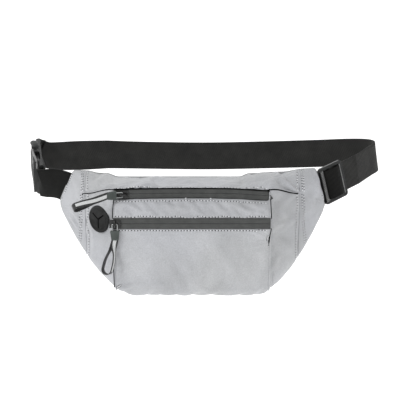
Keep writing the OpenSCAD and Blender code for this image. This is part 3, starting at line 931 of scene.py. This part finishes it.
def coil_pair(name, centre, node):
    """Two nylon coils on the inner side of the tape."""
    verts, faces, sides = [], [], 5
    turns, pitch = int((2 * POCKET_X - 10) / 1.7), 1.7
    for side in (-1, 1):
        base = len(verts)
        n = turns * 8
        for i in range(n + 1):
            a = 2 * math.pi * i / 8
            axis = np.array([-POCKET_X + 5 + pitch * i / 8, centre[1] + 1.6, centre[2] + side * 1.8])
            out = np.array([0, math.cos(a), math.sin(a)])
            for k in range(sides):
                b = 2 * math.pi * k / sides
                verts.append(axis + out * (0.55 + 0.28 * math.cos(b)) + np.array([0.28 * math.sin(b), 0, 0]))
        for i in range(n):
            for k in range(sides):
                faces.append((base + i * sides + k, base + i * sides + (k + 1) % sides,
                              base + (i + 1) * sides + (k + 1) % sides, base + (i + 1) * sides + k))
        faces.append(tuple(base + k for k in range(sides))[::-1])
        faces.append(tuple(base + n * sides + k for k in range(sides)))
    return dress(new_object(name, verts, faces), M["coil"], "root", "zip_coil", node)


def refined(name, node, material, body, slot, width, segments=3):
    """A copy of a CAD part with cleaned faces and rounded edges."""
    obj = bpy.data.objects.new(name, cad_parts[node].data.copy())
    bpy.context.scene.collection.objects.link(obj)
    bm = bmesh.new()
    bm.from_mesh(obj.data)
    bmesh.ops.remove_doubles(bm, verts=bm.verts, dist=0.00002)
    bmesh.ops.dissolve_limit(bm, angle_limit=math.radians(3), verts=bm.verts, edges=bm.edges)
    bmesh.ops.recalc_face_normals(bm, faces=bm.faces)
    bm.to_mesh(obj.data)
    bm.free()
    bevel = obj.modifiers.new("Bevel", "BEVEL")
    bevel.width = width * MM
    bevel.segments = segments
    bevel.limit_method = "ANGLE"
    bevel.angle_limit = math.radians(35)
    bevel.harden_normals = False
    weight = obj.modifiers.new("Weighted", "WEIGHTED_NORMAL")
    weight.keep_sharp = True
    obj.data.polygons.foreach_set("use_smooth", [True] * len(obj.data.polygons))
    bake_modifiers(obj)
    return dress(obj, material, body, slot, node)


def placed(points, matrix):
    return [np.array(matrix @ Vector([float(c) for c in p])) for p in points]


def turn(axis, degrees):
    return Matrix.Rotation(math.radians(degrees), 4, axis)


def shift(*by):
    return Matrix.Translation(by)


def bridge(name, centre, upright, body):
    """The arch on a slider that holds the wire link."""
    arc = [(5.2 * math.cos(a), -2.2 - 4.5 * math.sin(a) ** 0.8) for a in steps(0, math.pi, 16)]
    x, y, z = centre
    path = [(x, y + out, z + a) if upright else (x + a, y + out, z) for a, out in arc]
    outline = [(a * 1.7, b) for a, b in tube_outline(0.62, 10)]
    across = (1, 0, 0) if upright else (0, 0, 1)
    return dress(swept(name, path, [across] * len(path), outline), M["slider"], body, "slider_metal")


def wire_link(name, matrix, body, node):
    """A wire rectangle with round corners, through the slider's bridge and the block."""
    corners = [(0, 3.0), (-PULL_BAIL - 0.6, 3.0), (-PULL_BAIL - 0.6, -3.0), (0, -3.0)]
    path = []
    for i, (x, z) in enumerate(corners):
        inward = (1 if x < -1 else -1, -1 if z > 0 else 1)
        c = (x + inward[0] * 1.2, z + inward[1] * 1.2)
        first = (0, 90, 180, 270)[i]
        for k in range(5):
            a = math.radians(first + 90 * k / 4)
            path.append((c[0] + 1.2 * math.cos(a), 0, c[1] + 1.2 * math.sin(a)))
    pts = placed(path, matrix)
    side = np.array(matrix.to_3x3() @ Vector((0, 1, 0)))
    obj = swept(name, pts, [side] * len(pts), tube_outline(0.75, 10), closed=True)
    return dress(obj, M["wire"], body, "pull_wire", node)


def ribbon_loop(name, matrix, tip_roll, body, node, half, twist, length=42):
    """A doubled ribbon, flat in its block and turned to tip_roll degrees at its round end."""
    def at(u, offset):
        roll = math.radians(mix(90, tip_roll, ease(u / twist)))
        out = np.array([0, -math.sin(roll), math.cos(roll)])
        width = np.array([0, math.cos(roll), math.sin(roll)])
        return np.array([-u, 0, 0]) + out * offset, width
    rows = [(u, 0.6 + (half - 0.6) * ease(u / 30)) for u in steps(-2.5, length - half, 22)]
    arc = [(length - half + half * math.sin(a), half * math.cos(a)) for a in steps(0.15, math.pi - 0.15, 12)]
    run = rows + arc + [(u, -w) for u, w in rows[::-1]]
    made = [at(u, w) for u, w in run]
    pts = placed([p for p, _ in made], matrix)
    ups = [np.array(matrix.to_3x3() @ Vector([float(c) for c in w])) for _, w in made]
    outline = flat_outline(8, 0.9, 6)
    obj = swept(name, pts, ups, outline)
    inner = [i for i, (_, out) in enumerate(outline) if out > 0.3]
    layer = obj.data.uv_layers[0]
    for loop in obj.data.loops:
        ring, at_edge = divmod(loop.vertex_index, len(outline))
        if at_edge in inner or ring > len(rows):
            layer.data[loop.index].uv[0] = 0.1
    return dress(obj, M["ribbon"], body, "pull_ribbon", node)


def zip_set(word, centre, bend, upright, place, droop, lean, tip_roll, half, twist):
    """One zip: tapes, coils, stops, slider with its bridge, wire link, block and ribbon."""
    for side, part in ((1, "upper"), (-1, "lower")):
        tape_half(f"{word}_{part}_tape", centre, side, bend, "root", f"{word}_zip_{part}_tape")
    coil_pair(word + "_coil_pair", centre, word + "_zip_coils")
    refined(word + "_end_stops", word + "_zip_stops", M["coil"], "root", "zip_coil", 0.4)
    refined(word + "_slider_body", word + "_slider", M["slider"], word + "_slider", "slider_metal", 0.4)
    hub = middle(word + "_slider")
    at = (hub[0], centre[1], centre[2])
    bridge(word + "_slider_bridge", at, upright, word + "_slider")
    pull = word + "_pull"
    wire_link(pull + "_wire", place, pull, pull + "_link")
    refined(pull + "_grip", pull + "_block", M["block"], pull, "pull_block", 0.7)
    tail = place @ shift(-PULL_BAIL - PULL_BLOCK + 0.2, 0, 0) @ turn("Y", -droop) @ turn("Z", lean)
    ribbon_loop(pull + "_loop", tail, tip_roll, pull, pull + "_ribbon", half, twist)


def zips():
    hub = middle("main_slider")
    place = shift(hub[0], MAIN_ZIP[1] - LUG_Y, MAIN_ZIP[2]) @ turn("Z", 20)
    zip_set("main", MAIN_ZIP, bow, False, place, droop=16, lean=0, tip_roll=42, half=4.2, twist=42)
    hub = middle("pocket_slider")
    place = shift(hub[0], POCKET_ZIP[1] - LUG_Y, POCKET_ZIP[2]) @ turn("Y", -90)
    zip_set("pocket", POCKET_ZIP, lambda x: 0, True, place, droop=-15, lean=7, tip_roll=161, half=5.8, twist=17)


# ---------------------------------------------------------------- the cable port

PORT_R = 16.75
PETAL_R = 13.6
SLIT_ANGLES = (35, 145, 270)
SLIT_L = 11.2
PORT_C = (-112, wall_point(-112, 0.25)[1] - 1.2, 89.8)


def slit_distance(x, y):
    """How far a place on the rubber is from the nearest arm of its Y slit."""
    far = [99.0]
    for a in map(math.radians, SLIT_ANGLES):
        along = x * math.cos(a) + y * math.sin(a)
        if 0 < along < SLIT_L:
            far.append(abs(x * math.sin(a) - y * math.cos(a)))
    return min(far)


def port_height(r, angle):
    """The rubber's height at a radius and an angle: a rim, a groove, and petals parted by the Y slit."""
    if r > PETAL_R:
        rim = math.sin(math.pi / 2 * (PORT_R - r) / (PORT_R - PETAL_R)) if r < PORT_R else 0
        return 1.4 + 1.3 * max(0, rim) ** 0.45
    z = 2.5 + 0.3 * math.cos(math.pi / 2 * r / PETAL_R) - 0.5 * bell(r - 13.0, 0.5)
    a = math.radians(angle)
    return z - 1.6 * bell(slit_distance(r * math.cos(a), r * math.sin(a)), 0.6)


def port():
    radii = steps(0.05, 13.4, 44) + steps(PETAL_R, PORT_R, 12) + [PORT_R]
    around = 168
    place = shift(*PORT_C) @ turn("Z", -38) @ turn("X", 90)
    verts, faces = [], []
    for i, r in enumerate(radii):
        for k in range(around):
            angle = 360 * k / around
            z = port_height(r, angle) if i < len(radii) - 1 else -0.6
            a = math.radians(angle)
            verts.append((r * math.cos(a), r * math.sin(a), z))
    for i in range(len(radii) - 1):
        for k in range(around):
            j = (k + 1) % around
            faces.append((i * around + k, (i + 1) * around + k, (i + 1) * around + j, i * around + j))
    last = (len(radii) - 1) * around
    faces.append(tuple(range(around)))
    faces.append(tuple(last + k for k in range(around))[::-1])
    obj = new_object("port_rubber_disc", placed(verts, place), faces)
    dress(obj, M["port"], "root", "port_rubber", "port_disc")
    # the faces along the Y slit take the black: painted shade inside the slits
    obj.data.materials.append(M["dark"])
    for poly in obj.data.polygons:
        x, y, _ = place.inverted() @ (poly.center / MM)
        if math.hypot(x, y) < 12.6 and slit_distance(x, y) < 0.85:
            poly.material_index = 1
    refined("port_washer_ring", "port_washer", M["port"], "root", "port_rubber", 0.3)


# ---------------------------------------------------------------- webbing

BUCKLE = shift(-197, 42, 121.5) @ turn("Z", 104) @ turn("Y", -20)
MALE_BAR = 64
BUCKLE_UP = np.array(BUCKLE.to_3x3() @ Vector((0, 0, 1)))
STRIP_START = np.array([158, 6, 117])
STRIP_DIR = unit(np.array([48, 34, 14.5]))


def buckle_at(x, y=0.0, z=0.0):
    return np.array(BUCKLE @ Vector((x, y, z)))


def strip_at(s):
    return STRIP_START + STRIP_DIR * s


BELT = [strip_at(72), (232, 66, 140), (246, 84, 144), (242, 101, 146), (218, 114, 145),
        (170, 122, 142), (100, 128, 139), (20, 131, 137), (-60, 130, 138), (-120, 126, 140)]
BELT_END = [(-120, 126, 140), (-160, 124.2, 138.8), (-188, 122.3, 138.4), (-204, 119.5, 140.2),
            (-214.5, 115, 144.6)]
LEFT_STRIP = [(-156, 5, 118.6), (-170, 13.5, 121.2), (-182, 21, 120.6), buckle_at(-14, 0, 2.0)]


def framed(path, share):
    """Each point of a route with the direction of its width and the direction off its face."""
    rows = []
    for i, p in enumerate(path):
        t = unit(path[min(len(path) - 1, i + 1)] - path[max(0, i - 1)])
        up = mix(np.array([-p[0] / 250 * 0.16, 0.05, 1]), BUCKLE_UP, share(i / (len(path) - 1)))
        up = unit(up - t * (up @ t))
        rows.append((p, up, np.cross(t, up)))
    return rows


def round_bar(bar, heading, first):
    """The webbing's way round a buckle bar; heading is the side that its tails point to."""
    radius = 3.05
    tail = [(bar + heading * x, first * radius) for x in (8, 4)]
    arc = [(bar - heading * radius * math.sin(a), first * radius * math.cos(a))
           for a in steps(0, math.pi, 14)]
    back = [(bar + heading * x, -first * radius) for x in (4, 8)]
    return [(buckle_at(x, y), BUCKLE_UP) for x, y in tail + arc + back]


def webbing(name, route, slot_nodes, body, plain_side):
    """Sweeps webbing along a route, a little wider behind the buckle; plain_side is its ribbed face."""
    outline = flat_outline(WEB_W, WEB_T - 0.1, 14)
    spread = [1 + 0.075 * bell(p[0] + 165, 48) if p[1] > 100 else 1 for p, _ in route]
    obj = swept(name, [p for p, _ in route], [u for _, u in route], outline, False, spread)
    # the long webbing gets the lit webbing; the short webbing and the tri-glide webbing get the darker copy,
    # painted shade
    dress(obj, M["web" if name == "long_webbing" else "web_shaded"], body, "webbing", *slot_nodes)
    obj.data.materials.append(M["web_plain"])
    sign = {i: out for i, (_, out) in enumerate(outline)}
    for poly in obj.data.polygons:
        side = sum(sign[v % len(outline)] for v in poly.vertices)
        if side * plain_side > 0:
            poly.material_index = 1
    return obj


def long_belt():
    strip = framed([strip_at(s) for s in steps(2, 70, 14)], lambda t: 0)
    run = framed(spline(BELT, 10), lambda t: 0)
    end = framed(spline(BELT_END, 8), ease)
    outer = [(p, u) for p, u, _ in strip]
    outer += [(p + o * ease(i / 14), u) for i, (p, u, o) in enumerate(run)]
    outer += [(p + o, u) for p, u, o in end[2:]]
    inner = [(p - o, u) for p, u, o in end[2:][::-1]] + [(p - o, u) for p, u, o in run[12:][::-1]]
    obj = webbing("long_webbing", outer + round_bar(MALE_BAR, 1, 1) + inner,
                  ["belt_strip", "belt_outer", "belt_inner", "belt_outer_end", "belt_inner_end",
                   "belt_male_fold"], "root", -1)
    obj.parent = None
    obj.matrix_world = Matrix.Identity(4)
    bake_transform(obj)


def short_belt():
    rows = framed(spline(LEFT_STRIP, 6), ease)
    outer = [(p - o * 0.8, u) for p, u, o in rows]
    inner = [(p + o * 0.8, u) for p, u, o in rows[::-1]]
    webbing("short_webbing", outer + round_bar(0, -1, 1) + inner, ["left_webbing", "left_webbing_fold"],
            "root", 1)


# ---------------------------------------------------------------- buckle and tri-glide

def box_outline(w, h, r, n=5):
    """A rounded rectangle."""
    pts = []
    for cx, cy, a0 in ((w / 2 - r, h / 2 - r, 0), (-w / 2 + r, h / 2 - r, 90),
                       (-w / 2 + r, -h / 2 + r, 180), (w / 2 - r, -h / 2 + r, 270)):
        for k in range(n + 1):
            a = math.radians(a0 + 90 * k / n)
            pts.append((cx + r * math.cos(a), cy + r * math.sin(a)))
    return pts


def loft(name, sections, matrix):
    """A solid through closed sections, each a list of 3-D points of the same length."""
    k = len(sections[0])
    verts = placed([p for s in sections for p in s], matrix)
    faces = [(i * k + j, i * k + (j + 1) % k, (i + 1) * k + (j + 1) % k, (i + 1) * k + j)
             for i in range(len(sections) - 1) for j in range(k)]
    faces += [tuple(range(k))[::-1], tuple((len(sections) - 1) * k + j for j in range(k))]
    return new_object(name, verts, faces)


BODY_Y = 4


def grip_bar():
    """The slanted textured thumb bar of the male half, thicker at its round upper end."""
    top, low = np.array([49, 7.0, 30.5]), np.array([49, -5.8, -13.5])
    sections = []
    for t in steps(0, 1, 98):
        c = mix(top, low, t)
        near = max(0, (0.09 - t) / 0.09, (t - 0.93) / 0.07)
        radius = mix(5.6, 3.6, ease(t / 0.35)) * math.sqrt(max(0.02, 1 - near * near))
        radius += 0.16 * math.cos(2 * math.pi * t * 21)
        sections.append([(c[0] + a, c[1] + b, c[2]) for a, b in tube_outline(radius, 18)])
    return dress(loft("male_grip_bar", sections, BUCKLE), M["knurl"], "buckle_male", "buckle_plastic")


def housing_detail():
    """Raised rims and finger ridges on the female half."""
    pads = []
    for face in (-1, 1):
        for k in range(5):
            x = 13 + 3.2 * k
            line = [(x, BODY_Y + face * 6, z) for z in steps(-9, 9, 12)]
            pads.append(placed(line, BUCKLE))
    out = np.array(BUCKLE.to_3x3() @ Vector((0, 1, 0)))
    for i, line in enumerate(pads):
        obj = swept(f"female_ridge_{i}", line, [out] * len(line), tube_outline(0.55, 8))
        dress(obj, M["buckle"], "root", "buckle_plastic")
    for side in (-1, 1):
        edge = [(x, BODY_Y, side * 22.9) for x in steps(7.5, 12.5, 4) + steps(33.5, 38.8, 4)]
        for j, part in enumerate((edge[:5], edge[5:])):
            obj = swept(f"female_rim_{'ab'[side > 0]}{j}", placed(part, BUCKLE), [out] * 5,
                        [(a * 3.2, b) for a, b in tube_outline(0.8, 10)])
            dress(obj, M["buckle"], "root", "buckle_plastic")


def painted_highlight_ribs():
    """Two light grey ribs on the female half, which are painted highlights where the light catches, and its
    round foot.
    """
    side = [(44, 10.6, 21), (38, 10.9, 12), (30, 10.9, -4), (12, 9.4, -12), (7, 8.0, -20)]
    end = [(39, 9.2, 23.0), (24, 8.2, 23.4), (8, 5.6, 22.6), (5.9, 5.0, 13)]
    for word, route, radius in (("side", side, 0.8), ("end", end, 1.4)):
        line = placed(spline(route, 8), BUCKLE)
        ups = [BUCKLE_UP + (0, 0.3, 0)] * len(line)
        obj = swept(f"female_{word}_rib", line, ups, tube_outline(radius, 12))
        dress(obj, M["gloss"], "root", "buckle_plastic")
    sections = []
    for z in steps(-27.5, -8, 30):
        near = max(0, (-23 - z) / 4.5)
        radius = 4.6 * math.sqrt(max(0.02, 1 - near * near))
        sections.append([(9.5 + a, 2.5 + b, z) for a, b in tube_outline(radius, 18)])
    dress(loft("female_foot", sections, BUCKLE), M["buckle"], "root", "buckle_plastic")


def buckle():
    painted_highlight_ribs()
    refined("female_half", "buckle_female", M["buckle"], "root", "buckle_plastic", 1.3, 4)
    refined("male_half", "buckle_male", M["buckle"], "buckle_male", "buckle_plastic", 1.0, 4)
    for word in ("left", "right"):
        refined(word + "_prong", f"buckle_{word}_prong", M["buckle"], f"buckle_{word}_prong",
                "buckle_plastic", 0.7)
    grip_bar()
    housing_detail()


EDGE_X, STRETCH = 15, 1.17
HUMP_STRETCH = 1.35
KNURL_X = -18.4
GLIDE = shift(*strip_at(26)) @ turn("Z", math.degrees(math.atan2(STRIP_DIR[1], STRIP_DIR[0]))) \
    @ turn("Y", -math.degrees(math.asin(STRIP_DIR[2]))) @ turn("X", -6.2)


def glide_bar(name, x, y, reach, outline, material):
    """A straight bar along the tri-glide's width."""
    across = np.array(GLIDE.to_3x3() @ Vector((1, 0, 0)))
    line = placed([(x, y, z) for z in steps(-reach, reach, 30)], GLIDE)
    dress(swept(name, line, [across] * len(line), outline), M[material], "triglide", "buckle_plastic")


def tri_glide():
    frame_obj = refined("triglide_frame", "triglide", M["buckle"], "triglide", "buckle_plastic", 1.0, 4)
    local = np.array(placed(coords(frame_obj.data) / MM, GLIDE.inverted()))
    local[:, 0] = EDGE_X + (local[:, 0] - EDGE_X) * STRETCH
    set_coords(frame_obj.data, np.array(placed(local, GLIDE)) * MM)
    hump = [
        (-11.2, -2.0), (-10.7, -3.6), (-9.9, -5.1), (-8.6, -6.3), (-6.6, -7.1), (-4, -7.6), (0, -7.8),
        (4, -7.6), (6.6, -7.1), (8.6, -6.3), (9.9, -5.1), (10.7, -3.6), (11.2, -2.0)]
    pts = placed([(x * HUMP_STRETCH if x < 0 else x, y, 0) for x, y in hump], GLIDE)
    across = np.array(GLIDE.to_3x3() @ Vector((0, 0, 1)))
    webbing("triglide_webbing", [(p, across) for p in pts], ["triglide_wrap"], "triglide", -1)
    out = np.array(GLIDE.to_3x3() @ Vector((0, -1, 0)))
    flat_tube = [(a * 2.0, b) for a, b in tube_outline(1.25, 14)]
    glide_bar("triglide_knurled_bar", KNURL_X, -4.9, 20.5, flat_tube, "knurl")
    # a light grey tube along the frame's inner edge: a painted highlight
    glide_bar("triglide_painted_highlight_bar", 12.7, -5.0, 19.5, tube_outline(0.75, 12), "gloss")
    # light grey ridges across the knurled bar: painted highlights on the knurl
    for k, z in enumerate(steps(-19, 19, 19)):
        line = placed([(KNURL_X - 2, -5.5, z - 1.2), (KNURL_X, -6.2, z), (KNURL_X + 2, -5.5, z + 1.2)], GLIDE)
        obj = swept(f"triglide_ridge_{k}", line, [out] * 3, tube_outline(0.5, 8))
        dress(obj, M["gloss"], "triglide", "buckle_plastic")
    # a black tube along the knurled bar's outer side: painted shadow
    glide_bar("triglide_knurl_painted_shadow", KNURL_X - 3.2, -4.6, 20, tube_outline(1.1, 12), "dark")


# ---------------------------------------------------------------- stitching

def seam_rows():
    """Stitch rows on the fabric, as lists of points near the surface."""
    rows = []
    for side in (-1, 1):
        for dx in (-3.2, 3.0, 5.4):
            x = side * (SEAM_X + dx)
            drift = 8 if dx > 0 else 0
            rows.append([roof_point(x, s) for s in steps(0.1, 0.97, 14)])
            rows.append([wall_point(x + side * drift * w, w) for w in steps(0.02, 0.75, 26)])
    for dz in (2.6, -2.6):
        z0 = POCKET_ZIP[2] + math.copysign(ZIP_W / 2, dz) + dz
        rows.append([(x, POCKET_Y - 1, z0) for x in steps(-POCKET_X + 3, POCKET_X - 3, 60)])
    rows.append([(x, MAIN_ZIP[1] - 2, MAIN_ZIP[2] - ZIP_W / 2 + bow(x) - 2.4)
                 for x in steps(-POCKET_X + 3, POCKET_X - 3, 60)])
    rows.append([(x, MAIN_ZIP[1] - 1, MAIN_ZIP[2] + ZIP_W / 2 + bow(x) + 4.6)
                 for x in steps(-POCKET_X + 3, POCKET_X - 3, 60)])
    return rows


def wing_rows():
    rows = []
    for side in (-1, 1):
        for inset in (3.0, 6.2):
            top = np.array([SHOULDER_X - inset * 0.9, 0, BAG_H + 3 - inset * 0.3])
            low = np.array([HALF_W - inset, 0, TIP_Z + 4])
            line = [mix(top, low, t) for t in steps(0, 1, 20)]
            rows.append([(side * p[0], rear_y(p[0]) - 8, p[2]) for p in line])
        rows.append([(side * x, rear_y(x) + FRONT_Y - depth(x) * 0.5, bottom_z(x) + 3.5)
                     for x in steps(HALF_W - 5, SEAM_X + 4, 24)])
    return rows


TACK_STEP = 0.45


def bar_tack(name, at, angle, length, piece):
    """A short dense zigzag of thread."""
    c, s = math.cos(math.radians(angle)), math.sin(math.radians(angle))
    path = []
    for i in range(int(length / TACK_STEP)):
        w = 1.0 if i % 2 else -1.0
        a = i * TACK_STEP - length / 2
        path.append((at[0] + a * c - w * s, at[1], at[2] + a * s + w * c))
    return stitches(name, [path], [piece], M["thread"], 1.2, 1.5, 0.45)


def stitching():
    cloths = [top, left_side, right_side, left_wing, right_wing, band, face]
    stitches("panel_stitching", seam_rows(), cloths, M["thread"], 3.6, 2.2, 0.85)
    stitches("wing_edge_stitching", wing_rows(), [left_wing, right_wing], M["thread"], 3.1, 1.9, 0.8)
    bar_tack("right_pocket_tack", (POCKET_X - 2.5, POCKET_Y, 74), 80, 7, face)
    bar_tack("left_foot_tack", (-POCKET_X + 5, POCKET_Y + 4, 13), 35, 8, face)


seam_pieces()
zips()
port()
long_belt()
short_belt()
buckle()
tri_glide()
stitching()


# ---------------------------------------------------------------- camera, light and floor

def camera():
    cam = bpy.data.objects.new("camera", bpy.data.cameras.new("camera"))
    bpy.context.scene.collection.objects.link(cam)
    target = Vector((0.0094, 0, 0.1035))
    rise = math.radians(13)
    cam.location = target + Vector((0, -math.cos(rise), math.sin(rise)))
    cam.rotation_euler = (math.pi / 2 - rise, 0, 0)
    cam.data.sensor_width = 36
    cam.data.lens = 36 * 795 / 400
    cam.data.clip_start = 0.01
    bpy.context.scene.camera = cam


def area_light(name, place, aim, size, power):
    data = bpy.data.lights.new(name, "AREA")
    data.size = size
    data.energy = power
    light = bpy.data.objects.new(name, data)
    bpy.context.scene.collection.objects.link(light)
    light.location = place
    light.rotation_euler = (Vector(aim) - Vector(place)).to_track_quat("-Z", "Y").to_euler()


def studio():
    world = bpy.data.worlds.new("studio")
    bpy.context.scene.world = world
    world.use_nodes = True
    world.node_tree.nodes["Background"].inputs["Color"].default_value = (1, 1, 1, 1)
    world.node_tree.nodes["Background"].inputs["Strength"].default_value = 0.66
    area_light("key", (-1.1, -0.8, 1.1), (0, 0, 0.08), 0.6, 13)
    area_light("fill", (1.0, -0.9, 0.5), (0, 0, 0.08), 0.8, 3)
    p = Paint("paper", 0.9)
    p.colour(p.ramp(p.noise(p.place(), 3, 2), (0.3, (0.86, 0.86, 0.86)), (0.7, (0.9, 0.9, 0.9))))
    p.shader.inputs["Emission Color"].default_value = (1, 1, 1, 1)
    p.shader.inputs["Emission Strength"].default_value = 0.5
    low = -350
    rows = [(-3000, low), (1200, low), (1600, low + 60), (1900, low + 260), (2050, low + 560), (2100, 3500)]
    verts = [(x, y, z) for x in (-4000, 4000) for y, z in rows]
    n = len(rows)
    floor = new_object("paper_floor", verts, [(j, n + j, n + j + 1, j + 1) for j in range(n - 1)])
    floor.data.materials.append(p.material)
    bpy.context.scene.view_settings.view_transform = "Standard"


camera()
studio()
